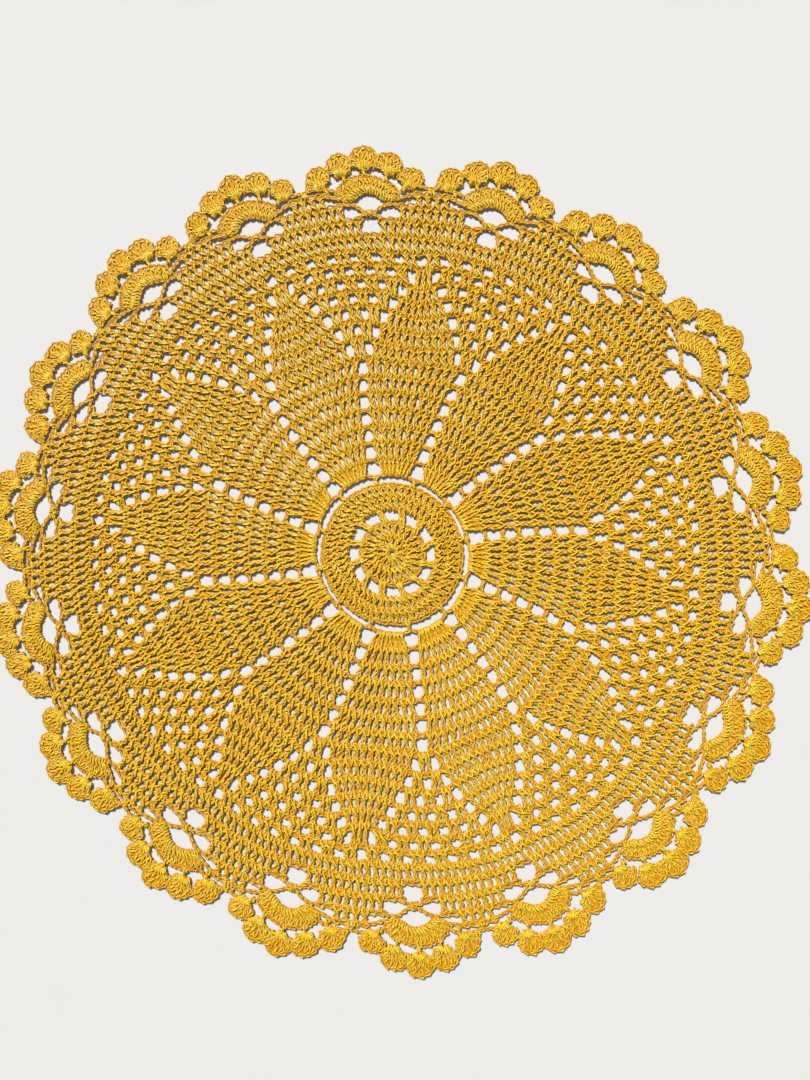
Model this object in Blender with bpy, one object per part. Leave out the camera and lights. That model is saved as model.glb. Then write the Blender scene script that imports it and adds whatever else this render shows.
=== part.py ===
"""Round crocheted lace doily, lying flat.

One piece of cotton crochet, worked in rounds from the centre. The solid is a thin
plate with the scalloped outline of the shells, the widest gaps of each repeat cut
through, and the shells raised along the edge. Metres, +Z up. The origin is on the
underside, at the centre.
"""

import math
from collections import namedtuple

import bmesh
import bpy

MM = 0.001
OBJECT_NAME = "doily"
HELPER_NAME = "doily_shell_humps"

# Cloth
THICKNESS = 2.6 * MM

# The doily was laid a little out of round: longer along one diagonal and shorter
# across it, with its rounds wandering slightly. Every count is even, so the box
# stays centred on the origin.
STRETCH = 0.0125
STRETCH_DEG = 130.0
Wave = namedtuple("Wave", "count out_mm around_mm start_deg")
WAVES = [
    Wave(count=4, out_mm=0.7, around_mm=0.8, start_deg=20.0),
    Wave(count=6, out_mm=0.6, around_mm=0.5, start_deg=75.0),
    Wave(count=10, out_mm=0.5, around_mm=0.4, start_deg=140.0),
]
WAVE_RADIUS = 225.0 * MM

# Its middle has crept towards the +Y edge, and the creep dies out towards the rim.
CENTRE_SHIFT_X = 0.4 * MM
CENTRE_SHIFT_Y = 1.75 * MM

# Gaps inside the border. A gap's turn is its angle from +X in the first repeat.
# Its outline is a polygon with a given number of sides, taper narrows its outer
# side, and lean pushes the outer side clockwise.
Gap = namedtuple("Gap", "radius_mm turn_deg width_mm height_mm sides taper lean_mm")
INNER_REPEATS = 12
INNER_GAPS = [
    # the twelve gaps around the centre
    Gap(21.4, 1.1, 7.0, 5.2, 6, 0.9, -1.6),
    # the line of gaps between two petals, outwards from the medallion
    Gap(46.9, 12.1, 4.6, 6.2, 4, 0.6, 0.4),
    Gap(56.5, 11.5, 4.5, 5.0, 4, 0.8, 0.4),
    Gap(65.9, 10.9, 4.8, 5.4, 4, 0.8, 0.4),
    Gap(74.9, 10.3, 5.0, 5.6, 4, 0.8, 0.4),
    Gap(84.1, 9.7, 5.2, 6.0, 4, 0.85, 0.4),
    Gap(94.2, 9.0, 5.4, 6.2, 4, 0.85, 0.4),
    Gap(104.6, 8.3, 6.2, 6.6, 4, 0.95, 0.3),
    # the gaps along the clockwise side of the net between two petals
    Gap(123.8, 3.4, 4.6, 4.7, 4, 0.85, 1.6),
    Gap(132.1, 1.1, 4.7, 4.6, 4, 0.85, 1.4),
    Gap(139.8, -1.0, 4.8, 4.4, 4, 0.85, 1.2),
    Gap(147.3, -3.0, 5.2, 4.6, 4, 0.85, 1.0),
    # and along its counter-clockwise side
    Gap(125.2, 12.6, 4.4, 4.6, 4, 0.85, -1.4),
    Gap(133.4, 14.7, 4.5, 4.5, 4, 0.85, -1.2),
    Gap(141.5, 16.6, 4.4, 4.3, 4, 0.85, -1.0),
    Gap(149.0, 18.5, 4.3, 4.3, 4, 0.85, -0.8),
]

# Gaps of one fan of the border, from the middle of its oval gap: along is counter-
# clockwise and out is away from the centre of the doily.
FanGap = namedtuple("FanGap", "along_mm out_mm width_mm height_mm sides taper lean_mm")
FAN_REPEATS = 18
FAN_TURN_DEG = 12.8
OVAL_RADIUS = 194.9 * MM
FAN_GAPS = [
    FanGap(0.0, 0.0, 14.4, 7.6, 8, 1.0, 0.0),      # the oval under the fan
    FanGap(0.0, -12.0, 8.8, 7.2, 6, 0.9, 0.0),     # the squarish gap under the knot
    FanGap(-15.6, 13.1, 6.0, 6.4, 6, 0.8, 1.5),    # the four between fan and shells
    FanGap(-4.6, 18.6, 6.2, 5.4, 6, 0.8, 0.5),
    FanGap(7.4, 18.3, 6.4, 6.0, 6, 0.8, -0.5),
    FanGap(18.6, 12.8, 7.0, 7.4, 6, 0.8, -1.5),
]

# Shells of one fan: the middle of each, and its radius.
Shell = namedtuple("Shell", "turn_deg radius_mm size_mm")
SHELLS = [
    Shell(turn_deg=-6.7, radius_mm=209.9, size_mm=6.1),
    Shell(turn_deg=-3.1, radius_mm=217.3, size_mm=6.2),
    Shell(turn_deg=0.6, radius_mm=220.2, size_mm=6.2),
    Shell(turn_deg=3.95, radius_mm=217.3, size_mm=6.1),
    Shell(turn_deg=7.4, radius_mm=211.0, size_mm=6.3),
]
FAN_CENTRE = 195.5 * MM
SHELL_ARC_DEG = 78.0
SHELL_ARC_POINTS = 5
NOTCH_RADIUS = 203.3 * MM
NOTCH_TURNS_DEG = (9.7, 11.0)

# Each shell is a bunch of stitches that stands proud of the cloth.
HUMP_WIDTH = 0.8
HUMP_MIDDLE = 1.75 * MM
HUMP_HALF_HEIGHT = 1.65 * MM
HUMP_SIDES = 6
HUMP_RINGS = 4

WELD = 0.00001
YARN_COLOUR = (0.78, 0.42, 0.035, 1.0)
YARN_ROUGHNESS = 0.62


def clear_scene():
    for item in list(bpy.data.objects):
        bpy.data.objects.remove(item, do_unlink=True)


def polar(radius, turn):
    return radius * math.cos(turn), radius * math.sin(turn)


def as_laid(point):
    """A point of the even design, moved to where the laid doily has it."""
    x, y = point
    diagonal = math.radians(STRETCH_DEG)
    along = x * math.cos(diagonal) + y * math.sin(diagonal)
    across = y * math.cos(diagonal) - x * math.sin(diagonal)
    along *= 1 + STRETCH
    across *= 1 - STRETCH
    radius = math.hypot(along, across)
    turn = math.atan2(across, along) + diagonal
    reach = radius / WAVE_RADIUS
    out = 0.0
    around = 0.0
    for wave in WAVES:
        phase = wave.count * turn + math.radians(wave.start_deg)
        out += wave.out_mm * MM * reach * math.sin(phase)
        around += wave.around_mm * MM * reach * math.cos(phase)
    x, y = polar(radius + out, turn + around / WAVE_RADIUS)
    creep = max(0.0, 1 - reach)
    return x + CENTRE_SHIFT_X * creep, y + CENTRE_SHIFT_Y * creep


def gap_corners(gap):
    """Corners of a gap about its own middle, as (along, out) pairs.

    A gap with four sides has straight ones, and any other is a flattened ring.
    """
    half_width = gap.width_mm * MM / 2
    half_height = gap.height_mm * MM / 2
    if gap.sides == 4:
        ring = [(-1, -1), (1, -1), (1, 1), (-1, 1)]
    else:
        step = 2 * math.pi / gap.sides
        ring = []
        for side in range(gap.sides):
            turn = (side + 0.5) * step
            ring.append((math.cos(turn), math.sin(turn)))
        widest = max(along for along, out in ring)
        tallest = max(out for along, out in ring)
        ring = [(along / widest, out / tallest) for along, out in ring]
    corners = []
    for along, out in ring:
        narrowing = 1 + (gap.taper - 1) * (out + 1) / 2
        sideways = -gap.lean_mm * MM * (out + 1) / 2
        corners.append((along * half_width * narrowing + sideways, out * half_height))
    return corners


def inner_gap_outline(gap, repeat):
    middle = gap.radius_mm * MM
    turn = math.radians(gap.turn_deg + repeat * 360 / INNER_REPEATS)
    points = []
    for along, out in gap_corners(gap):
        points.append(as_laid(polar(middle + out, turn + along / middle)))
    return points


def fan_turn(repeat):
    return math.radians(FAN_TURN_DEG + repeat * 360 / FAN_REPEATS)


def fan_gap_outline(gap, repeat):
    middle = OVAL_RADIUS + gap.out_mm * MM
    turn = fan_turn(repeat) + gap.along_mm * MM / middle
    points = []
    for along, out in gap_corners(gap):
        points.append(as_laid(polar(middle + out, turn + along / middle)))
    return points


def shell_middle(shell, repeat):
    return polar(shell.radius_mm * MM, fan_turn(repeat) + math.radians(shell.turn_deg))


def shell_arc(shell, repeat):
    """The round outer side of one shell, facing away from the middle of its fan."""
    x, y = shell_middle(shell, repeat)
    fan_x, fan_y = polar(FAN_CENTRE, fan_turn(repeat))
    facing = math.atan2(y - fan_y, x - fan_x)
    points = []
    for step in range(SHELL_ARC_POINTS):
        share = 2 * step / (SHELL_ARC_POINTS - 1) - 1
        turn = facing + share * math.radians(SHELL_ARC_DEG)
        size = shell.size_mm * MM
        points.append(as_laid((x + size * math.cos(turn), y + size * math.sin(turn))))
    return points


def rim_outline():
    """The scalloped outline: five shells on each fan, and a notch between fans."""
    points = []
    for repeat in range(FAN_REPEATS):
        for shell in SHELLS:
            points += shell_arc(shell, repeat)
        for notch in NOTCH_TURNS_DEG:
            turn = fan_turn(repeat) + math.radians(notch)
            points.append(as_laid(polar(NOTCH_RADIUS, turn)))
    return points


def add_outline(curve, points):
    spline = curve.splines.new("POLY")
    spline.points.add(len(points) - 1)
    for slot, (x, y) in zip(spline.points, points):
        slot.co = (x, y, 0, 1)
    spline.use_cyclic_u = True


def plate_curve():
    """The whole plate as one flat curve: the rim, and every gap inside it."""
    curve = bpy.data.curves.new("doily_outline", "CURVE")
    curve.dimensions = "2D"
    curve.fill_mode = "BOTH"
    curve.extrude = THICKNESS / 2
    add_outline(curve, rim_outline())
    for gap in INNER_GAPS:
        for repeat in range(INNER_REPEATS):
            add_outline(curve, inner_gap_outline(gap, repeat))
    for gap in FAN_GAPS:
        for repeat in range(FAN_REPEATS):
            add_outline(curve, fan_gap_outline(gap, repeat))
    return curve


def mesh_from_curve(curve, collection):
    """A welded mesh object in the place of the curve, standing on z = 0."""
    guide = bpy.data.objects.new("doily_outline", curve)
    guide.location.z = THICKNESS / 2
    collection.objects.link(guide)
    bpy.context.view_layer.update()
    ready = guide.evaluated_get(bpy.context.evaluated_depsgraph_get())
    mesh = bpy.data.meshes.new_from_object(ready)
    mesh.name = OBJECT_NAME
    plate = bpy.data.objects.new(OBJECT_NAME, mesh)
    collection.objects.link(plate)
    plate.matrix_world = guide.matrix_world
    bpy.data.objects.remove(guide)
    work = bmesh.new()
    work.from_mesh(mesh)
    bmesh.ops.remove_doubles(work, verts=work.verts, dist=WELD)
    bmesh.ops.recalc_face_normals(work, faces=work.faces)
    work.to_mesh(mesh)
    work.free()
    return plate


def add_hump(work, shell, repeat):
    made = bmesh.ops.create_uvsphere(
        work, u_segments=HUMP_SIDES, v_segments=HUMP_RINGS, radius=1.0
    )
    size = shell.size_mm * MM * HUMP_WIDTH
    x, y = as_laid(shell_middle(shell, repeat))
    bmesh.ops.scale(work, vec=(size, size, HUMP_HALF_HEIGHT), verts=made["verts"])
    bmesh.ops.translate(work, vec=(x, y, HUMP_MIDDLE), verts=made["verts"])


def shell_humps(collection):
    """All the shells' humps in one helper mesh, which the plate is joined with."""
    work = bmesh.new()
    for repeat in range(FAN_REPEATS):
        for shell in SHELLS:
            add_hump(work, shell, repeat)
    mesh = bpy.data.meshes.new(HELPER_NAME)
    work.to_mesh(mesh)
    work.free()
    humps = bpy.data.objects.new(HELPER_NAME, mesh)
    humps.hide_render = True
    humps.display_type = "WIRE"
    collection.objects.link(humps)
    return humps


def raise_shells(plate, humps):
    join = plate.modifiers.new("raised shells", "BOOLEAN")
    join.operation = "UNION"
    join.solver = "EXACT"
    join.object = humps


def cotton_material():
    material = bpy.data.materials.new("mustard cotton yarn")
    material.use_nodes = True
    shader = material.node_tree.nodes["Principled BSDF"]
    shader.inputs["Base Color"].default_value = YARN_COLOUR
    shader.inputs["Roughness"].default_value = YARN_ROUGHNESS
    shader.inputs["Metallic"].default_value = 0.0
    return material


def new_collection(name):
    collection = bpy.data.collections.new(name)
    bpy.context.scene.collection.children.link(collection)
    return collection


def main():
    clear_scene()
    parts = new_collection("lace doily")
    helpers = new_collection("doily helpers")
    plate = mesh_from_curve(plate_curve(), parts)
    plate.data.materials.clear()
    plate.data.materials.append(cotton_material())
    raise_shells(plate, shell_humps(helpers))


main()
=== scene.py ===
import math
import random

import bmesh
import bpy
from mathutils import Matrix, Vector


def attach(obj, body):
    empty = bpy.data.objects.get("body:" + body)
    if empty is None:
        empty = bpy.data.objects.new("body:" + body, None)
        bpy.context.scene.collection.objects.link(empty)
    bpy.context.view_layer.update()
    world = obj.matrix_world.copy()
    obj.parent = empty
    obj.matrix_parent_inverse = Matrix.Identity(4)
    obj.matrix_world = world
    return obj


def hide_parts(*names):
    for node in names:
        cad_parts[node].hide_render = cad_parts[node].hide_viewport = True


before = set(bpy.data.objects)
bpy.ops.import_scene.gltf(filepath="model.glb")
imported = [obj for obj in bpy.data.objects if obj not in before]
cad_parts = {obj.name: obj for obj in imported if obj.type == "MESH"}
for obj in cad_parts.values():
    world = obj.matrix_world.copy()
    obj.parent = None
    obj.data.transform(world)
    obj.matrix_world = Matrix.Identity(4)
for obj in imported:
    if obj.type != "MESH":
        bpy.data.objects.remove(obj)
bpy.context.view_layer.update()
mm = 0.001
hand = random.Random(11)    # the small unevenness of handwork, the same each run
cells = []                  # the place in the cloth of each stitch, for the ground net

# Lengths are in millimetres and turns in degrees, anticlockwise from +X, until a mesh is made.
cloth = {
    "petals": 12,
    "fans": 18,
    "netTurn": 8.3,           # middle of the first net between two petals
    "fanTurn": 12.8,          # middle of the first border fan
    "stretch": 0.0125,        # the doily is pulled longer one way and shorter the other
    "stretchTurn": 130.0,
    "waveRadius": 225.0,
    # count around, then how far the edge moves out and around, and where the wave starts
    "waves": ((4, 0.7, 0.8, 20.0), (6, 0.6, 0.5, 75.0), (10, 0.5, 0.4, 140.0)),
    "centreMoved": (0.4, 1.75),    # the middle has crept towards the top edge
}
petalStep = 360.0 / cloth["petals"]
fanStep = 360.0 / cloth["fans"]


def laid(turn, radius):
    # where a point of the pattern lies on the table once the doily is spread by hand
    x = radius * math.cos(math.radians(turn))
    y = radius * math.sin(math.radians(turn))
    c = math.cos(math.radians(cloth["stretchTurn"]))
    s = math.sin(math.radians(cloth["stretchTurn"]))
    along = (x * c + y * s) * (1 + cloth["stretch"])
    across = (y * c - x * s) * (1 - cloth["stretch"])
    reach = math.hypot(along, across)
    where = math.atan2(across, along) + math.radians(cloth["stretchTurn"])
    share = reach / cloth["waveRadius"]
    out = 0.0
    side = 0.0
    for count, outward, sideways, start in cloth["waves"]:
        phase = count * where + math.radians(start)
        out += outward * share * math.sin(phase)
        side += sideways * share * math.cos(phase)
    where += side / cloth["waveRadius"]
    centre = max(0.0, 1.0 - share)
    return Vector(((reach + out) * math.cos(where) + cloth["centreMoved"][0] * centre,
                   (reach + out) * math.sin(where) + cloth["centreMoved"][1] * centre))


# Rounds are numbered from the centre: 1 to 6 medallion, 7 to 13 petals, 14 to 20 petals and net,
# 21 to 24 bands. Fans and shells follow.
tops = {
    # top line of each plain round
    0: 2.7, 1: 9.3, 2: 17.3, 3: 25.2, 4: 31.7, 5: 37.9, 7: 52.0, 8: 61.6, 9: 70.6,
    10: 79.9, 11: 89.3, 21: 176.8, 22: 185.4, 23: 193.8, 24: 200.8,
}
arcs = {
    # round 6, the chain arcs that carry the petals
    "out": 43.2,
    "oval": 1.0,              # how much further out they lie along the oval's long way
    "ovalTurn": 122.0,
    "knot": 12.3,             # where the first arc is worked into the round below
    "knotDip": 1.5,
    "dipWidth": 3.0,
    "steps": 12,              # points along the line of each arc
    "pitch": 3.6,
    "knotFrom": 38.6,
    "knotTo": 43.4,
    "knotRoom": 3.6,
}
petals = {
    "stitches": {7: 8, 8: 7, 9: 7, 10: 9, 11: 9, 12: 11, 13: 11, 14: 11, 15: 10, 16: 9,
                 17: 7, 18: 5, 19: 3},
    # top line in the middle of a petal, where the rounds sag inwards
    "tops": {12: 97.8, 13: 106.3, 14: 114.6, 15: 123.3, 16: 131.9, 17: 139.9, 18: 147.8,
             19: 159.0, 20: 168.4},
    "lineTurn": 12.1,         # the row of gaps between two petals, where it starts
    "lineStart": 46.7,
    "lineLean": 0.0656,       # degrees that it leans back for each millimetre outwards
    "lineNear": 12.0,         # turn that stands for it where the height of a round is read
    "lineNearOuter": 9.0,     # and the same from round 12 on
    "footGap": 4.7,           # from that line to the first stitch, at its foot and at its head
    "footGapFirst": 4.9,      # in round 7
    "headGap": 3.5,
    "headGapLast": 4.0,       # in round 13
    "slot": 1.1,
    "belowFirst": 0.9,        # round 7 is worked round the arcs and not into a plait
}
net = {
    # top line in the middle of the net
    "tops": {12: 99.4, 13: 109.6, 14: 120.2, 15: 129.3, 16: 138.3, 17: 146.3, 18: 154.0,
             19: 161.3, 20: 168.8},
    # half the net's width in degrees, and how far its middle has moved back
    "half": {12: 0.6, 13: 1.2, 14: 2.65, 15: 4.6, 16: 6.8, 17: 8.8, 18: 10.75, 19: 12.5, 20: 14.9},
    "shift": {12: 0.0, 13: 0.0, 14: -0.05, 15: -0.3, 16: -0.4, 17: -0.5, 18: -0.55, 19: -0.6,
              20: 0.0},
    "slope": 0.06,            # one side of the net stands higher, for each degree from its middle
    "sag": 0.7,               # its sides lie further in than its middle
    "startRadius": 104.6,     # the first block stands in the last gap between the petals
    "foot": 1.8,              # half the spread of the two stitches of a block
    "head": 2.05,
    "edgeFoot": 0.8,          # a block at the net's edge leans out over the petal
    "edgeHead": 2.8,
    "link": 1.15,
    "edgeLink": 0.85,
    "petalEdge": 3.8,         # from the net's last gap to the petal's first stitch
    "lean": {14: 0.8, 15: 1.8, 16: 1.8, 17: 1.8, 18: 1.2, 19: 0.4},    # how far that one leans
    "slot": 0.2,
}
lastNet = {
    # round 20: its gaps in degrees from the middle of a net, and the blocks between them
    "gaps": (-14.6, -10.3, -6.0, -1.75, 2.5, 6.8, 11.1),
    "footBack": 0.4,          # the blocks lean forward
    "foot": 0.66,
    "head": 0.72,
}


def topLine(row, turn):
    half = petalStep / 2
    if row == 6:
        fromKnot = abs((turn - arcs["knot"] + half) % petalStep - half)
        reach = arcs["out"] + arcs["oval"] * math.cos(math.radians(2 * (turn - arcs["ovalTurn"])))
        return reach - arcs["knotDip"] * math.exp(-(fromKnot / arcs["dipWidth"]) ** 2)
    if row not in net["tops"]:
        return tops[row]
    x = (turn - cloth["netTurn"] + half) % petalStep - half
    netHalf = net["half"][row]
    away = x - net["shift"][row]
    high = net["tops"][row] + net["slope"] * max(-netHalf, min(netHalf, x))
    if abs(away) <= netHalf:
        return high - net["sag"] * (away / netHalf) ** 2
    share = (half - abs(x)) / (half - netHalf)
    low = petals["tops"][row]
    return low + (high - net["sag"] - low) * min(1.0, share) ** 2


def lineTurn(radius):
    return petals["lineTurn"] - petals["lineLean"] * (radius - petals["lineStart"])


def degrees(length, radius):
    return math.degrees(length / radius)


def spread(first, last, count):
    if count == 1:
        return [(first + last) / 2]
    return [first + (last - first) * i / (count - 1) for i in range(count)]


# A round is a list in working order: ("tall", turn at its foot, turn at its head) or
# ("chain", links, half the width of a link).
def plainRound(count, start, lean=0.0):
    step = 360.0 / count
    return [("tall", start + step * i, start + step * i + lean) for i in range(count)]


ring = {
    # round 3: pairs of tall stitches leaning forward, with a three-chain space after each
    "pairFoot": 11.8,
    "pairHead": 17.4,
    "foot": 2.6,              # half the spread of a pair, in degrees
    "head": 2.3,
    "spaceLinks": 3,
}
narrowLink = 0.5              # half the width of a chain that spans a small gap


def ringOfPairs():
    work = []
    for k in range(cloth["petals"]):
        foot = ring["pairFoot"] + petalStep * k
        head = ring["pairHead"] + petalStep * k
        work.append(("tall", foot - ring["foot"], head - ring["head"]))
        work.append(("tall", foot + ring["foot"], head + ring["head"]))
        work.append(("chain", ring["spaceLinks"], narrowLink))
    return work


def petalRound(row):
    near = petals["lineNear"] if row < 12 else petals["lineNearOuter"]
    low = topLine(row - 1, near)
    high = topLine(row, near)
    footGap = degrees(petals["footGapFirst"] if row == 7 else petals["footGap"], low)
    headGap = degrees(petals["headGapLast"] if row == 13 else petals["headGap"], high)
    count = petals["stitches"][row]
    work = []
    for k in range(cloth["petals"]):
        foot = (arcs["knot"] if row == 7 else lineTurn(low)) + petalStep * k
        head = lineTurn(high) + petalStep * k
        feet = spread(foot + footGap, foot + petalStep - footGap, count)
        heads = spread(head + headGap, head + petalStep - headGap, count)
        work += [("tall", a, b) for a, b in zip(feet, heads)]
        work.append(("chain", 2 if row == 13 else 1, narrowLink))
    return work


def netGaps(row, k):
    middle = cloth["netTurn"] + petalStep * k + net["shift"][row]
    gapCount = row - 12       # two in round 14, and one more in each round after it
    return spread(middle - net["half"][row], middle + net["half"][row], gapCount)


def netRound(row):
    # rounds 14 to 19: blocks of two worked in the spaces below, and the narrowing petal
    work = []
    for k in range(cloth["petals"]):
        gaps = netGaps(row, k)
        below = netGaps(row - 1, k)
        if row == 14:
            below = [lineTurn(net["startRadius"]) + petalStep * k]
        for i, foot in enumerate(below):
            radius = topLine(row, foot)
            middle = (gaps[i] + gaps[i + 1]) / 2
            feet = [-net["foot"], net["foot"]]
            heads = [-net["head"], net["head"]]
            if 14 < row < 19 and i == 0:
                feet[0], heads[0] = -net["edgeFoot"], -net["edgeHead"]
            if 14 < row < 19 and i == len(below) - 1:
                feet[1], heads[1] = net["edgeFoot"], net["edgeHead"]
            work.append(("chain", 1, net["edgeLink"] if i == 0 else net["link"]))
            for a, b in zip(feet, heads):
                work.append(("tall", foot + degrees(a, radius), middle + degrees(b, radius)))
        work.append(("chain", 1, net["edgeLink"]))
        radius = topLine(row, gaps[-1])
        after = netGaps(row, k + 1)[0]
        inFoot = degrees(net["petalEdge"] - net["lean"][row], radius)
        inHead = degrees(net["petalEdge"] + net["lean"][row], radius)
        feet = spread(gaps[-1] + inFoot, after - inFoot, petals["stitches"][row])
        heads = spread(gaps[-1] + inHead, after - inHead, petals["stitches"][row])
        work += [("tall", a, b) for a, b in zip(feet, heads)]
    return work


def blockRound():
    # round 20: blocks of two and a space all the way round
    gapTurns = []
    for k in range(cloth["petals"]):
        gapTurns += [cloth["netTurn"] + petalStep * k + a for a in lastNet["gaps"]]
    work = []
    for i, gap in enumerate(gapTurns):
        after = gapTurns[i + 1] if i + 1 < len(gapTurns) else gapTurns[0] + 360.0
        middle = (gap + after) / 2
        foot = middle - lastNet["footBack"]
        work.append(("chain", 1, net["link"]))
        work.append(("tall", foot - lastNet["foot"], middle - lastNet["head"]))
        work.append(("tall", foot + lastNet["foot"], middle + lastNet["head"]))
    return work


def borderRound(first, last, count):
    # rounds 22 to 24: a run of tall stitches between two fans
    work = []
    for k in range(cloth["fans"]):
        fan = cloth["fanTurn"] + fanStep * k
        work += [("tall", fan + a, fan + a) for a in spread(first, last, count)]
        work.append(("chain", 0, narrowLink))
    return work


yarn = {
    "radius": 0.62,
    "sides": 5,
    "lowest": 0.7,            # height of the middle of yarn that lies on the table
    "uneven": 0.14,           # how far any point of the yarn strays
    "turnUneven": 3.0,        # how far a stitch leans by chance, degrees
    "footUneven": 0.15,
}
stitch = {
    "legs": 3,                # two legs and the yarn-over
    "bends": 5,               # points along each
    "narrowest": 0.5,         # how far the middle of a leg swings from the middle of its stitch
    "widest": 1.5,
    "swingShare": 0.87,       # how much of that swing three legs reach together
    "winding": 0.95,          # turns of the legs round each other in one stitch
    "windUneven": 0.04,
    "waist": 0.86,            # how wide a stitch is in its middle, as a share of its usual width
    "flare": 0.60,            # how much wider it gets at its foot and head
    "below": 1.7,             # how far the legs start below the top of the round before
    "over": 1.5,              # from the end of a leg to where it lies over the plait below
    "short": 0.5,             # how far below the head a leg ends, under the plait
    "rise": 0.3,              # how much further up a leg makes its first bend
    "endHigh": 0.9,           # heights of a leg where it starts, crosses the plait and ends
    "overHigh": 2.5,
    "headHigh": 1.2,
    "middleHigh": 1.5,
    "weave": 0.8,             # how far the legs pass over and under each other
    "tightest": 0.35,         # narrowest foot, as a share of the head
    "slot": 1.1,              # space between two stitches
}
plait = {
    # The loops along the top of a round. One loop is an open V of five points: how far onward
    # each lies, how far to the side, and how far from the loop's top.
    "loop": ((-0.72, -0.12, -1.0), (0.3, -1.0, 0.0), (0.66, 0.0, -0.6), (0.3, 1.0, 0.0),
             (-0.72, 0.12, -1.0)),
    "half": 1.7,              # half the width of the plait
    "up": 1.7,                # how high its loops stand
    "lean": 0.45,             # how far each loop turns out of the line
    "uneven": 0.18,
    "longest": 12.0,          # it breaks off where the next head is further away than this
    "freeHalf": 0.65,         # half the width of a chain worked on its own
    "freePitch": 3.3,
}


def stray(amount):
    return max(-2.0, min(2.0, hand.gauss(0.0, 1.0))) * amount


def drawn(x, y, z):
    return (x, y, max(yarn["lowest"], z + stray(yarn["uneven"])))


def alongStitch(foot, head, points):
    # Places a strand that is drawn for a stitch between two points: how far across, how far up
    # as a share of the stitch, how far past that, and its height.
    direction = head - foot
    height = direction.length
    direction.normalize()
    lean = math.radians(stray(yarn["turnUneven"]))
    v = Vector((direction.x * math.cos(lean) - direction.y * math.sin(lean),
                direction.x * math.sin(lean) + direction.y * math.cos(lean)))
    u = Vector((v.y, -v.x))
    placed = []
    for across, share, past, z in points:
        p = foot + v * (share * height + past) + u * (across + stray(yarn["uneven"]))
        placed.append(drawn(p.x, p.y, z))
    return placed


def tallStitch(strands, foot, head, room, nip=1.0, slot=stitch["slot"], below=stitch["below"]):
    # the two legs and the yarn-over wind round each other, from the plait below up to the next
    free = (room / 2 - slot / 2 - yarn["radius"]) / stitch["swingShare"]
    wide = max(stitch["narrowest"], min(stitch["widest"], free))
    start = stray(stitch["windUneven"])
    last = stitch["bends"] - 1
    for leg in range(stitch["legs"]):
        points = []
        for i in range(stitch["bends"]):
            share = i / last
            phase = 2 * math.pi * (stitch["winding"] * share + leg / stitch["legs"] + start)
            swing = wide * (stitch["waist"] + stitch["flare"] * (2 * share - 1) ** 2)
            across = swing * math.sin(phase) * (nip + (1 - nip) * share)
            if i == 0:
                points.append((across, 0.0, -below, stitch["endHigh"]))
                if leg:
                    points.append((across, 0.0, stitch["over"] - below, stitch["overHigh"]))
            elif i == last:
                points.append((across, 1.0, -stitch["short"], stitch["headHigh"]))
            else:
                high = stitch["middleHigh"] + stitch["weave"] * math.sin(2 * phase)
                points.append((across, share, stitch["rise"] if i == 1 else 0.0, high))
        strands.append(alongStitch(foot, head, points))


def chainLink(strands, before, at, after, wide=plait["half"], lift=0.0):
    # one loop of chain: a V whose arms open towards the next loop, which comes up between them
    way = after - before
    pitch = way.length / 2
    way.normalize()
    side = Vector((-way.y, way.x))
    at = at + side * stray(plait["uneven"]) + way * stray(plait["uneven"])
    loop = []
    for s, v, down in plait["loop"]:
        sideways = (v + plait["lean"] * s) * wide + stray(yarn["uneven"] / 2)
        q = at + way * (s * pitch) + side * sideways
        loop.append(drawn(q.x, q.y, plait["up"] + lift + down))
    strands.append(loop)


def plaitOver(strands, heads, wide, lift=0.0):
    # a loop on each head of an open row, the last ones as if the row went on
    for i, at in enumerate(heads):
        before = heads[i - 1] if i else heads[0] * 2 - heads[1]
        after = heads[i + 1] if i + 1 < len(heads) else heads[-1] * 2 - heads[-2]
        chainLink(strands, before, at, after, wide, lift)


def evenly(points, count):
    # evenly spaced places along a drawn line
    lengths = [0.0]
    for a, b in zip(points, points[1:]):
        lengths.append(lengths[-1] + (b - a).length)
    placed = []
    for i in range(count):
        want = lengths[-1] * i / (count - 1)
        j = max(n for n in range(len(points) - 1) if lengths[n] <= want + 1e-9)
        share = (want - lengths[j]) / (lengths[j + 1] - lengths[j])
        placed.append(points[j].lerp(points[j + 1], min(1.0, share)))
    return placed


def atPitch(points, pitch):
    length = sum(((b - a).length for a, b in zip(points, points[1:])), 0.0)
    return evenly(points, max(2, round(length / pitch) + 1))


def freeChain(strands, points, pitch=plait["freePitch"]):
    spots = atPitch(points, pitch)
    for before, after in zip(spots, spots[1:]):
        middle = (before + after) / 2
        step = after - before
        chainLink(strands, middle - step, middle, middle + step, plait["freeHalf"])


def plaitSpots(work, row, wide):
    # links of the top line in order, the spaces filled between the heads on either side
    spots = []
    n = len(work)
    for i, item in enumerate(work):
        if item[0] == "tall":
            spots.append((laid(item[2], topLine(row, item[2])), wide))
            continue
        before = next(work[i - d][2] for d in range(1, n) if work[i - d][0] == "tall")
        after = next(work[(i + d) % n][2] for d in range(1, n) if work[(i + d) % n][0] == "tall")
        gap = (after - before) % 360.0
        for j in range(item[1]):
            turn = before + gap * (j + 1) / (item[1] + 1)
            spots.append((laid(turn, topLine(row, turn)), item[2]))
    return spots


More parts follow.
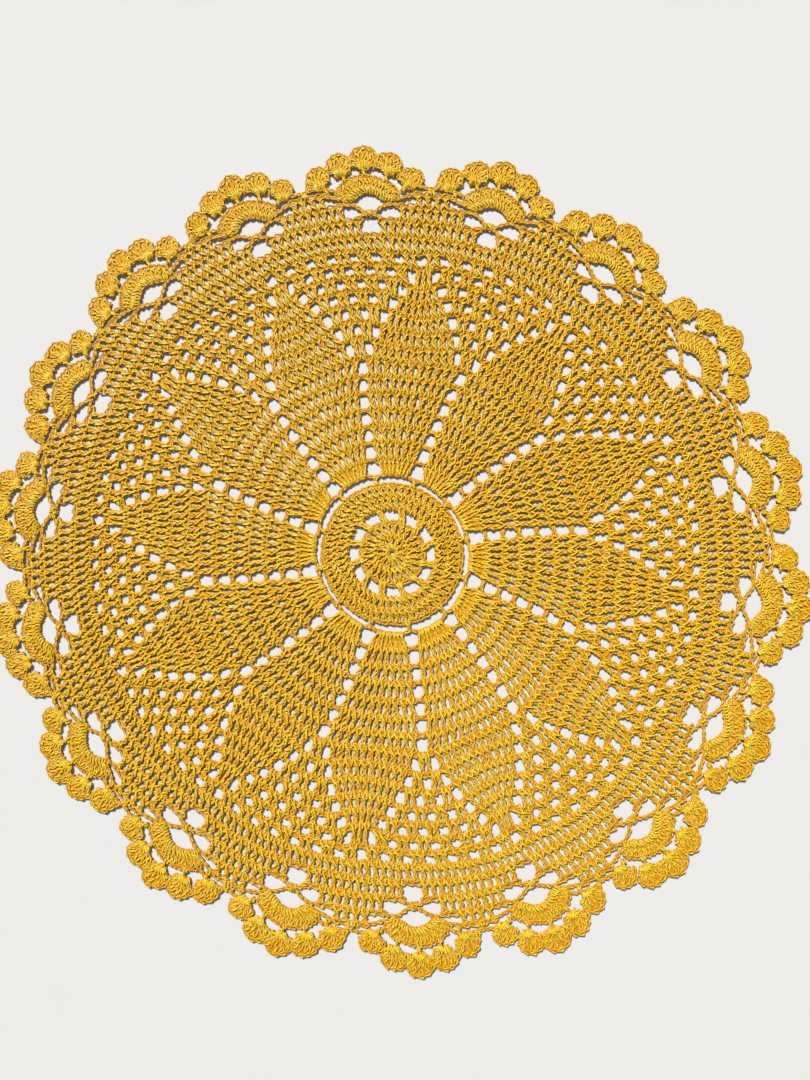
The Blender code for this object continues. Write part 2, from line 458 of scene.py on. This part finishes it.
def workRound(strands, row, work, wide=plait["half"], slot=stitch["slot"],
              below=stitch["below"], broken=False):
    spots = plaitSpots(work, row, wide)
    for i, (spot, half) in enumerate(spots):
        before = spots[i - 1][0]
        after = spots[(i + 1) % len(spots)][0]
        if broken and (after - before).length >= plait["longest"]:
            # the plait ends here, at a chain figure
            if (before - spot).length < (after - spot).length:
                after = spot * 2 - before
            else:
                before = spot * 2 - after
        chainLink(strands, before, spot, after, half)
    talls = []
    for kind, foot, head in work:
        if kind == "tall":
            talls.append((laid(foot, topLine(row - 1, foot)), laid(head, topLine(row, head))))
    for i, (foot, head) in enumerate(talls):
        neighbours = (talls[(i + 1) % len(talls)], talls[i - 1])
        room = min((head - near[1]).length for near in neighbours)
        footRoom = min((foot - near[0]).length for near in neighbours)
        nip = max(stitch["tightest"], min(1.0, footRoom / room))
        moved = Vector((stray(yarn["footUneven"]), stray(yarn["footUneven"])))
        tallStitch(strands, foot + moved, head, room, nip, slot, below)
    cells.append((talls, True))


print("stage: working the rounds")
pieces = {name: [] for name in ("medallion", "petals_inner", "petals_outer", "net_inner",
                                "net_outer", "bands", "fans", "shells")}

centre = {
    # plain rounds of the medallion: stitches, turn of the first one, how far each leans
    "plain": {1: (12, 5.0, 3.0), 2: (24, 8.0, 2.0), 4: (48, 2.0, 1.0), 5: (60, 4.0, 1.0)},
    "wide": {1: 1.0, 2: 0.8, 3: 0.95, 4: 1.7, 5: 1.0},    # half the width of its plait
    "slot": {1: 0.0, 2: 0.0, 3: 0.0, 4: 0.1, 5: 0.1},
    "below": {1: 1.3, 2: 1.7, 3: 1.7, 4: 1.7, 5: 1.7},
}
medallion = pieces["medallion"]
for row in range(1, 6):
    work = ringOfPairs() if row == 3 else plainRound(*centre["plain"][row])
    workRound(medallion, row, work, centre["wide"][row], centre["slot"][row], centre["below"][row])
for k in range(cloth["petals"]):
    knot = arcs["knot"] + petalStep * k
    arcTurns = [knot + petalStep * i / arcs["steps"] for i in range(arcs["steps"] + 1)]
    freeChain(medallion, [laid(turn, topLine(6, turn)) for turn in arcTurns], arcs["pitch"])
    foot = laid(knot, arcs["knotFrom"])
    head = laid(knot, arcs["knotTo"])
    tallStitch(medallion, foot, head, arcs["knotRoom"])

for row in range(7, 14):
    piece = pieces["petals_inner" if row < 11 else "petals_outer"]
    below = petals["belowFirst"] if row == 7 else stitch["below"]
    workRound(piece, row, petalRound(row), slot=petals["slot"], below=below)
for row in range(14, 21):
    piece = pieces["net_inner" if row < 17 else "net_outer"]
    workRound(piece, row, blockRound() if row == 20 else netRound(row), slot=net["slot"])

band = {
    "plain": (252, 3.2, 0.4),    # round 21: stitches, turn of the first one, how far each leans
    # first and last stitch of each run, in degrees from the middle of a fan, and their number
    "runs": {22: (2.1, 17.7, 12), 23: (4.9, 14.5, 8), 24: (7.7, 12.1, 4)},
    # chains in degrees from the middle of a fan, and radii
    "chains": (
        ((-2.3, 186.0), (-1.7, 187.2), (-0.8, 188.4), (0.0, 188.7), (0.8, 188.4), (1.6, 187.4),
         (2.2, 186.2)),
        ((-5.0, 193.8), (-3.9, 194.7), (-2.6, 194.2), (-1.5, 191.4), (-0.5, 189.3)),
        ((0.4, 189.3), (1.4, 191.6), (2.5, 194.3), (3.8, 194.8), (4.8, 193.9)),
    ),
    "knot": ((0.0, 188.6), (0.0, 191.4)),
    "knotRoom": 4.4,
}


def fanLine(points, k):
    return [laid(cloth["fanTurn"] + fanStep * k + turn, radius) for turn, radius in points]


bands = pieces["bands"]
workRound(bands, 21, plainRound(*band["plain"]))
for row, run in band["runs"].items():
    workRound(bands, row, borderRound(*run), broken=True)
for k in range(cloth["fans"]):
    for chain in band["chains"]:
        freeChain(bands, fanLine(chain, k))
    foot, head = fanLine(band["knot"], k)
    tallStitch(bands, foot, head, band["knotRoom"])


def stitchFan(strands, feetLine, headLine, form):
    # tall stitches spread from a short line of feet to a long line of heads, with a loop on each
    tinyStep = 0.01
    last = form["stitches"] - 1
    ends = []
    for line in (feetLine, headLine):
        fine = atPitch(line, tinyStep)
        ends.append([fine[round((len(fine) - 1) * i / last)] for i in range(form["stitches"])])
    feet, heads = ends
    for foot, head in zip(feet, heads):
        tallStitch(strands, foot, head, form["room"], form["nip"], form["slot"], form["below"])
    cells.append((list(zip(feet, heads)), False))
    plaitOver(strands, heads, form["linkHalf"], form["lift"])


fan = {
    # chain arch and fan in degrees from the middle of a fan, and radii
    "arch": ((-7.9, 200.8), (-6.2, 199.2), (-4.4, 197.2), (-3.0, 196.0), (-2.2, 197.9),
             (-1.3, 200.4), (0.0, 201.6), (1.3, 200.5), (2.1, 198.1), (2.9, 196.2), (4.2, 197.3),
             (6.0, 199.6), (7.7, 200.9)),
    "feet": ((-3.5, 196.4), (-2.4, 197.4), (-1.4, 200.4), (0.0, 201.6), (1.4, 200.5),
             (2.4, 198.0), (3.4, 196.6)),
    "heads": ((-4.5, 199.4), (-4.5, 202.2), (-3.6, 205.0), (-2.4, 207.5), (-1.0, 209.3),
              (0.5, 210.2), (2.0, 209.5), (3.4, 207.2), (4.4, 204.4), (5.0, 201.6), (4.9, 199.2)),
    "stitches": 17,
    "room": 3.4,
    "nip": 0.6,
    "slot": 0.1,
    "below": 1.0,
    "linkHalf": 1.1,
    "lift": 0.0,
    # chains that lead from the band to the first shell and from the last shell back
    "rails": (
        ((-9.6, 204.2), (-8.4, 205.0), (-6.4, 204.6), (-5.2, 202.6)),
        ((5.2, 202.6), (6.6, 204.6), (8.6, 205.2), (9.8, 204.6), (10.5, 204.2)),
    ),
    "railPitch": 3.0,
    "posts": (((-9.6, 201.4), (-9.6, 204.4)), ((9.9, 201.4), (9.9, 204.4))),
    "postRoom": 3.6,
}
fans = pieces["fans"]
for k in range(cloth["fans"]):
    freeChain(fans, fanLine(fan["arch"], k))
    stitchFan(fans, fanLine(fan["feet"], k), fanLine(fan["heads"], k), fan)
    for rail in fan["rails"]:
        freeChain(fans, fanLine(rail, k), fan["railPitch"])
    for post in fan["posts"]:
        foot, head = fanLine(post, k)
        tallStitch(fans, foot, head, fan["postRoom"])

shell = {
    # five round each fan, from the clockwise side: line of feet, line of heads, post under it
    "forms": (
        (((-7.0, 203.9), (-6.0, 204.2)),
         ((-7.9, 206.8), (-8.2, 210.0), (-7.8, 213.2), (-6.6, 214.7), (-5.4, 213.4),
          (-4.9, 210.2)),
         ((-5.5, 203.0), (-5.9, 205.4))),
        (((-3.9, 211.2), (-3.0, 211.4)),
         ((-4.7, 214.2), (-5.0, 218.2), (-4.3, 221.8), (-3.0, 222.9), (-1.7, 220.8),
          (-1.6, 216.8)),
         ((-2.8, 207.4), (-3.0, 212.0))),
        (((-0.1, 214.6), (0.8, 214.6)),
         ((-1.1, 217.2), (-1.4, 220.6), (-1.1, 224.4), (0.1, 226.3), (1.3, 224.8),
          (2.2, 221.2), (2.0, 218.0)),
         ((0.4, 210.4), (0.4, 215.6))),
        (((3.5, 211.3), (4.5, 211.0)),
         ((2.6, 214.6), (2.4, 218.2), (2.9, 221.9), (4.0, 223.3), (5.2, 221.0), (5.8, 216.6)),
         ((3.5, 207.8), (3.6, 212.2))),
        (((6.9, 205.7), (7.9, 205.0)),
         ((6.0, 210.4), (5.9, 213.4), (6.5, 216.1), (7.6, 216.9), (8.7, 214.6), (9.3, 210.0),
          (9.4, 206.8)),
         ((6.6, 201.8), (6.8, 206.6))),
    ),
    "stitches": 7,
    "room": 4.0,
    "nip": 0.45,
    "slot": 0.1,
    "below": 0.8,
    "linkHalf": 0.9,
    "lift": 0.2,
    "postRoom": 3.4,
    "lastChain": ((9.4, 206.8), (9.7, 204.4)),    # from the last shell down to the chain
}
shells = pieces["shells"]
for k in range(cloth["fans"]):
    for feetLine, headLine, post in shell["forms"]:
        stitchFan(shells, fanLine(feetLine, k), fanLine(headLine, k), shell)
        foot, head = fanLine(post, k)
        tallStitch(shells, foot, head, shell["postRoom"])
    freeChain(shells, fanLine(shell["lastChain"], k), fan["railPitch"])

for name, strands in pieces.items():
    print("stage:", name, len(strands), "strands")

yarnLook = {
    "light": (1.0, 0.76, 0.055, 1.0),
    "middle": (0.98, 0.60, 0.012, 1.0),
    "grooveShade": (0.32, 0.10, 0.001, 1.0),      # painted shade in the grooves between the plies
    "hollowShade": (0.68, 0.27, 0.003, 1.0),    # painted shade where a strand dips between the others
    "hollowShadeAmount": 0.7,
    "patches": 160.0,         # scale of the lighter and deeper patches, and where they start
    "patchFrom": 0.30,
    "patchTo": 0.68,
    "fibres": 1400.0,
    "fibreHeight": 0.2,       # as a share of the plies' height
    "plies": 3.0,
    "twists": 6.0,            # turns of the plies in one stitch's length of yarn
    "grooves": 1.0,           # higher is narrower
    "grooveDepth": 0.0003,    # metres
    "smoothest": 0.32,
    "roughest": 0.55,
    "shine": 0.45,
}
# painted shade: darker copies of the yarn's colours for the cloth between the strands, where
# little light gets
shadeLook = dict(yarnLook, light=(0.50, 0.24, 0.004, 1.0), middle=(0.40, 0.18, 0.003, 1.0),
                 grooveShade=(0.43, 0.20, 0.003, 1.0), hollowShadeAmount=0.0, shine=0.0)


def ramp(nodes, stops):
    node = nodes.new("ShaderNodeValToRGB")
    while len(node.color_ramp.elements) < len(stops):
        node.color_ramp.elements.new(0.5)
    for element, (where, colour) in zip(node.color_ramp.elements, stops):
        element.position = where
        element.color = colour
    return node


def noise(tree, place, scale, detail=2.0):
    node = tree.nodes.new("ShaderNodeTexNoise")
    node.inputs["Scale"].default_value = scale
    node.inputs["Detail"].default_value = detail
    tree.links.new(place.outputs["Object"], node.inputs["Vector"])
    return node.outputs["Fac"]


def mathNode(tree, operation, *values):
    # values are numbers or the outputs of other nodes
    node = tree.nodes.new("ShaderNodeMath")
    node.operation = operation
    for socket, value in zip(node.inputs, values):
        if isinstance(value, float):
            socket.default_value = value
        else:
            tree.links.new(value, socket)
    return node.outputs[0]


def mixed(tree, amount, first, colour):
    node = tree.nodes.new("ShaderNodeMix")
    node.data_type = "RGBA"
    tree.links.new(amount, node.inputs["Factor"])
    tree.links.new(first, node.inputs["A"])
    node.inputs["B"].default_value = colour
    return node.outputs["Result"]


def effect(name, inputs, outputs, coordinates):
    # an empty shader group with its sockets, and the chosen coordinates split into X, Y and Z
    group = bpy.data.node_groups.new(name, "ShaderNodeTree")
    for label, usual in inputs:
        socket = group.interface.new_socket(name=label, in_out="INPUT",
                                            socket_type="NodeSocketFloat")
        socket.default_value = usual
    for label in outputs:
        group.interface.new_socket(name=label, in_out="OUTPUT", socket_type="NodeSocketFloat")
    start = group.nodes.new("NodeGroupInput")
    end = group.nodes.new("NodeGroupOutput")
    place = group.nodes.new("ShaderNodeTexCoord")
    split = group.nodes.new("ShaderNodeSeparateXYZ")
    group.links.new(place.outputs[coordinates], split.inputs[0])
    return group, start.outputs, end.inputs, split.outputs


def clothDepth():
    # mask of the painted shade: how far a place lies inside the cloth, between its two faces: 1 in
    # the middle, 0 on the crests of the yarn. Middle, Hollow and Crest are in millimetres.
    usual = (("Middle", 1.6), ("Hollow", 0.1), ("Crest", 0.95), ("Amount", 1.0))
    group, start, end, split = effect("cloth depth", usual, ("Depth",), "Object")
    height = mathNode(group, "MULTIPLY", split["Z"], 1 / mm)
    away = mathNode(group, "ABSOLUTE", mathNode(group, "SUBTRACT", height, start["Middle"]))
    fade = group.nodes.new("ShaderNodeMapRange")
    fade.interpolation_type = "SMOOTHSTEP"
    group.links.new(away, fade.inputs["Value"])
    group.links.new(start["Hollow"], fade.inputs["From Min"])
    group.links.new(start["Crest"], fade.inputs["From Max"])
    group.links.new(start["Amount"], fade.inputs["To Min"])
    fade.inputs["To Max"].default_value = 0.0
    group.links.new(fade.outputs["Result"], end["Depth"])
    return group


def plyTwist():
    # spiral grooves between the plies, from the strand's own map: around it and along it
    # Groove masks the painted shade in the grooves, and Height drives the bump
    usual = (("Plies", 3.0), ("Twists", 6.0), ("Grooves", 1.0))
    group, start, end, split = effect("ply twist", usual, ("Groove", "Height"), "UV")
    around = mathNode(group, "MULTIPLY", split["X"], start["Plies"])
    onward = mathNode(group, "MULTIPLY", split["Y"], start["Twists"])
    turns = mathNode(group, "MULTIPLY", mathNode(group, "ADD", around, onward), math.pi)
    crest = mathNode(group, "ABSOLUTE", mathNode(group, "SINE", turns))
    group.links.new(crest, end["Height"])
    hollowShade = mathNode(group, "SUBTRACT", 1.0, crest)
    group.links.new(mathNode(group, "POWER", hollowShade, start["Grooves"]), end["Groove"])
    return group


def cottonFinish(name, look):
    finish = bpy.data.materials.new(name)
    finish.use_nodes = True
    tree = finish.node_tree
    shader = tree.nodes["Principled BSDF"]
    place = tree.nodes.new("ShaderNodeTexCoord")
    fibres = noise(tree, place, look["fibres"])
    stops = ((look["patchFrom"], look["middle"]), (look["patchTo"], look["light"]))
    tint = ramp(tree.nodes, stops)
    tree.links.new(noise(tree, place, look["patches"], 3.0), tint.inputs[0])
    twist = tree.nodes.new("ShaderNodeGroup")
    twist.node_tree = twistGroup
    twist.inputs["Plies"].default_value = look["plies"]
    twist.inputs["Twists"].default_value = look["twists"]
    twist.inputs["Grooves"].default_value = look["grooves"]
    depth = tree.nodes.new("ShaderNodeGroup")
    depth.node_tree = depthGroup
    depth.inputs["Amount"].default_value = look["hollowShadeAmount"]
    # painted shade: strands lying further into the cloth, between the others, take the darker
    # hollow-shade colour
    colour = mixed(tree, depth.outputs["Depth"], tint.outputs["Color"], look["hollowShade"])
    # painted shade: the ply grooves take the darker groove-shade colour
    colour = mixed(tree, twist.outputs["Groove"], colour, look["grooveShade"])
    tree.links.new(colour, shader.inputs["Base Color"])
    rough = tree.nodes.new("ShaderNodeMapRange")
    rough.inputs["To Min"].default_value = look["smoothest"]
    rough.inputs["To Max"].default_value = look["roughest"]
    tree.links.new(fibres, rough.inputs["Value"])
    tree.links.new(rough.outputs["Result"], shader.inputs["Roughness"])
    bump = tree.nodes.new("ShaderNodeBump")
    bump.inputs["Strength"].default_value = 1.0
    bump.inputs["Distance"].default_value = look["grooveDepth"]
    height = mathNode(tree, "MULTIPLY_ADD", fibres, look["fibreHeight"], twist.outputs["Height"])
    tree.links.new(height, bump.inputs["Height"])
    tree.links.new(bump.outputs["Normal"], shader.inputs["Normal"])
    shader.inputs["Specular IOR Level"].default_value = look["shine"]
    return finish


depthGroup = clothDepth()
twistGroup = plyTwist()
cotton = cottonFinish("mustard mercerised cotton", yarnLook)
shadedCotton = cottonFinish("cotton in the shade of the yarn", shadeLook)


def putInScene(name, data):
    thing = bpy.data.objects.new(name, data)
    bpy.context.scene.collection.objects.link(thing)
    return thing


def yarnSection():
    curve = bpy.data.curves.new("yarn section", "CURVE")
    curve.dimensions = "2D"
    section = curve.splines.new("POLY")
    section.points.add(yarn["sides"] - 1)
    radius = yarn["radius"] * mm
    for i, point in enumerate(section.points):
        turn = 2 * math.pi * i / yarn["sides"]
        point.co = (radius * math.cos(turn), radius * math.sin(turn), 0.0, 1.0)
    section.use_cyclic_u = True
    return putInScene("yarn section", curve)


def spinYarn(name, strands, section):
    # turns drawn strands into round yarn, one closed tube each
    curve = bpy.data.curves.new(name, "CURVE")
    curve.dimensions = "3D"
    curve.bevel_mode = "OBJECT"
    curve.bevel_object = section
    curve.use_fill_caps = True
    for strand in strands:
        spline = curve.splines.new("POLY")
        spline.points.add(len(strand) - 1)
        flat = []
        for x, y, z in strand:
            flat += [x * mm, y * mm, z * mm, 1.0]
        spline.points.foreach_set("co", flat)
        spline.use_smooth = True
    holder = putInScene(name, curve)
    bpy.context.view_layer.update()
    graph = bpy.context.evaluated_depsgraph_get()
    mesh = bpy.data.meshes.new_from_object(holder.evaluated_get(graph))
    bpy.data.objects.remove(holder)
    bpy.data.curves.remove(curve)
    mesh.materials.clear()
    mesh.materials.append(cotton)
    mesh.shade_smooth()
    mesh.name = name
    return putInScene(name, mesh)


def triangles(thing):
    thing.data.calc_loop_triangles()
    return len(thing.data.loop_triangles)


print("stage: spinning the yarn")
section = yarnSection()
yarnObjects = [spinYarn("yarn_" + name, strands, section) for name, strands in pieces.items()]
bpy.data.objects.remove(section)
for thing in yarnObjects:
    print("stage:", thing.name, triangles(thing), "triangles")

ground = {
    "width": 1.15,            # of the strips round each opening
    "share": 0.36,            # and at most this much of a narrow cell
    "closed": 3.1,            # cells narrower than this have no opening
    "widest": 9.5,            # wider ones are left out
    "thick": 0.5,
    "height": 1.4,            # in the middle of the yarn, so that both faces show stitches
}


def groundWeb():
    # the cloth itself as a thin net under the yarn: one ring of cells a round, each opened inside,
    # and a closed one under each fan and shell
    bm = bmesh.new()
    for stitches, closed in cells:
        count = len(stitches) if closed else len(stitches) - 1
        grid = bmesh.ops.create_grid(bm, x_segments=count, y_segments=1, size=1.0)
        feet = sorted((v for v in grid["verts"] if v.co.y < 0), key=lambda v: v.co.x)
        heads = sorted((v for v in grid["verts"] if v.co.y > 0), key=lambda v: v.co.x)
        for i in range(count + 1):
            foot, head = stitches[i % len(stitches)]
            feet[i].co = (foot.x * mm, foot.y * mm, ground["height"] * mm)
            heads[i].co = (head.x * mm, head.y * mm, ground["height"] * mm)
        if not closed:
            continue
        faces = [next(f for f in feet[i].link_faces if f in feet[i + 1].link_faces)
                 for i in range(count)]
        ends = [feet[0], feet[-1], heads[0], heads[-1]]
        bmesh.ops.remove_doubles(bm, verts=ends, dist=1e-7)
        for i, face in enumerate(faces):
            foot, head = stitches[i]
            nextFoot, nextHead = stitches[(i + 1) % len(stitches)]
            wide = max((foot - nextFoot).length, (head - nextHead).length)
            narrow = min((foot - nextFoot).length, (head - nextHead).length)
            if wide > ground["widest"]:
                bmesh.ops.delete(bm, geom=[face], context="FACES_ONLY")
            elif wide > ground["closed"]:
                width = min(ground["width"], ground["share"] * (wide + narrow) / 2)
                bmesh.ops.inset_individual(bm, faces=[face], thickness=width * mm,
                                           use_even_offset=True)
                bmesh.ops.delete(bm, geom=[face], context="FACES_ONLY")
    bmesh.ops.recalc_face_normals(bm, faces=bm.faces)
    bmesh.ops.solidify(bm, geom=bm.faces[:], thickness=ground["thick"] * mm)
    mesh = bpy.data.meshes.new("cotton_ground")
    bm.to_mesh(mesh)
    bm.free()
    # painted shade: the net takes the darker copies of the yarn's colours
    mesh.materials.append(shadedCotton)
    return putInScene("cotton_ground", mesh)


print("stage: laying the ground net")
web = groundWeb()
print("stage:", web.name, triangles(web), "triangles")

for thing in yarnObjects + [web]:
    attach(thing, "root")
    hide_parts("doily")

studio = {
    "floorColour": (0.48, 0.48, 0.47, 1.0),
    "floorHalf": 60.0,        # metres
    "floorMottle": 0.97,      # how dark its darker patches are
    "floorGrain": 30.0,
    "floorRough": 0.9,
    "keyPower": 6.3,          # a broad light far off, so that the floor is evenly lit
    "keyWidth": 12.7,         # how broad it looks from the doily, degrees
    "keyAt": (-1.4, 3.2, 4.1),
    "fillPower": 28.0,
    "fillSize": 3.2,
    "fillAt": (2.0, -2.4, 4.0),
    "skyStrength": 0.14,
}


def paleFloor():
    bm = bmesh.new()
    bmesh.ops.create_grid(bm, x_segments=1, y_segments=1, size=studio["floorHalf"])
    mesh = bpy.data.meshes.new("floor")
    bm.to_mesh(mesh)
    bm.free()
    finish = bpy.data.materials.new("pale floor")
    finish.use_nodes = True
    tree = finish.node_tree
    shader = tree.nodes["Principled BSDF"]
    light = studio["floorColour"]
    dark = tuple(c * studio["floorMottle"] for c in light[:3]) + (1.0,)
    tone = ramp(tree.nodes, ((0.0, dark), (1.0, light)))
    place = tree.nodes.new("ShaderNodeTexCoord")
    tree.links.new(noise(tree, place, studio["floorGrain"]), tone.inputs[0])
    tree.links.new(tone.outputs["Color"], shader.inputs["Base Color"])
    shader.inputs["Roughness"].default_value = studio["floorRough"]
    mesh.materials.append(finish)
    putInScene("floor", mesh)


def softLight(name, kind, at, power):
    lamp = bpy.data.lights.new(name, kind)
    lamp.energy = power
    holder = putInScene(name, lamp)
    holder.location = at
    holder.rotation_euler = (-Vector(at)).to_track_quat("-Z", "Y").to_euler()
    return lamp


print("stage: studio")
paleFloor()
key = softLight("key light", "SUN", studio["keyAt"], studio["keyPower"])
key.angle = math.radians(studio["keyWidth"])
fill = softLight("fill light", "AREA", studio["fillAt"], studio["fillPower"])
fill.shape = "DISK"
fill.size = studio["fillSize"]
world = bpy.data.worlds.new("studio")
world.use_nodes = True
sky = world.node_tree.nodes["Background"]
sky.inputs["Color"].default_value = (1.0, 1.0, 1.0, 1.0)
sky.inputs["Strength"].default_value = studio["skyStrength"]
bpy.context.scene.world = world
bpy.context.scene.view_settings.view_transform = "Standard"

view = {
    "sensor": 36.0,
    "lens": 27.03,
    "distance": 443.0,
    "aim": (7.4, 9.0, 1.3),   # the point of the doily in the middle of the picture
    "rightNearer": 2.12,      # the phone was held a little to the right and towards the bottom
    "bottomNearer": 1.33,
    "nearest": 0.01,          # metres
}
camera = putInScene("camera", bpy.data.cameras.new("camera"))
camera.data.sensor_width = view["sensor"]
camera.data.lens = view["lens"]
camera.data.clip_start = view["nearest"]
aim = Vector([length * mm for length in view["aim"]])
away = Vector((math.sin(math.radians(view["rightNearer"])),
               -math.sin(math.radians(view["bottomNearer"])), 1.0)).normalized()
camera.location = aim + away * view["distance"] * mm
right = Vector((0.0, 1.0, 0.0)).cross(away).normalized()
camera.rotation_euler = Matrix((right, away.cross(right), away)).transposed().to_euler()
bpy.context.scene.camera = camera
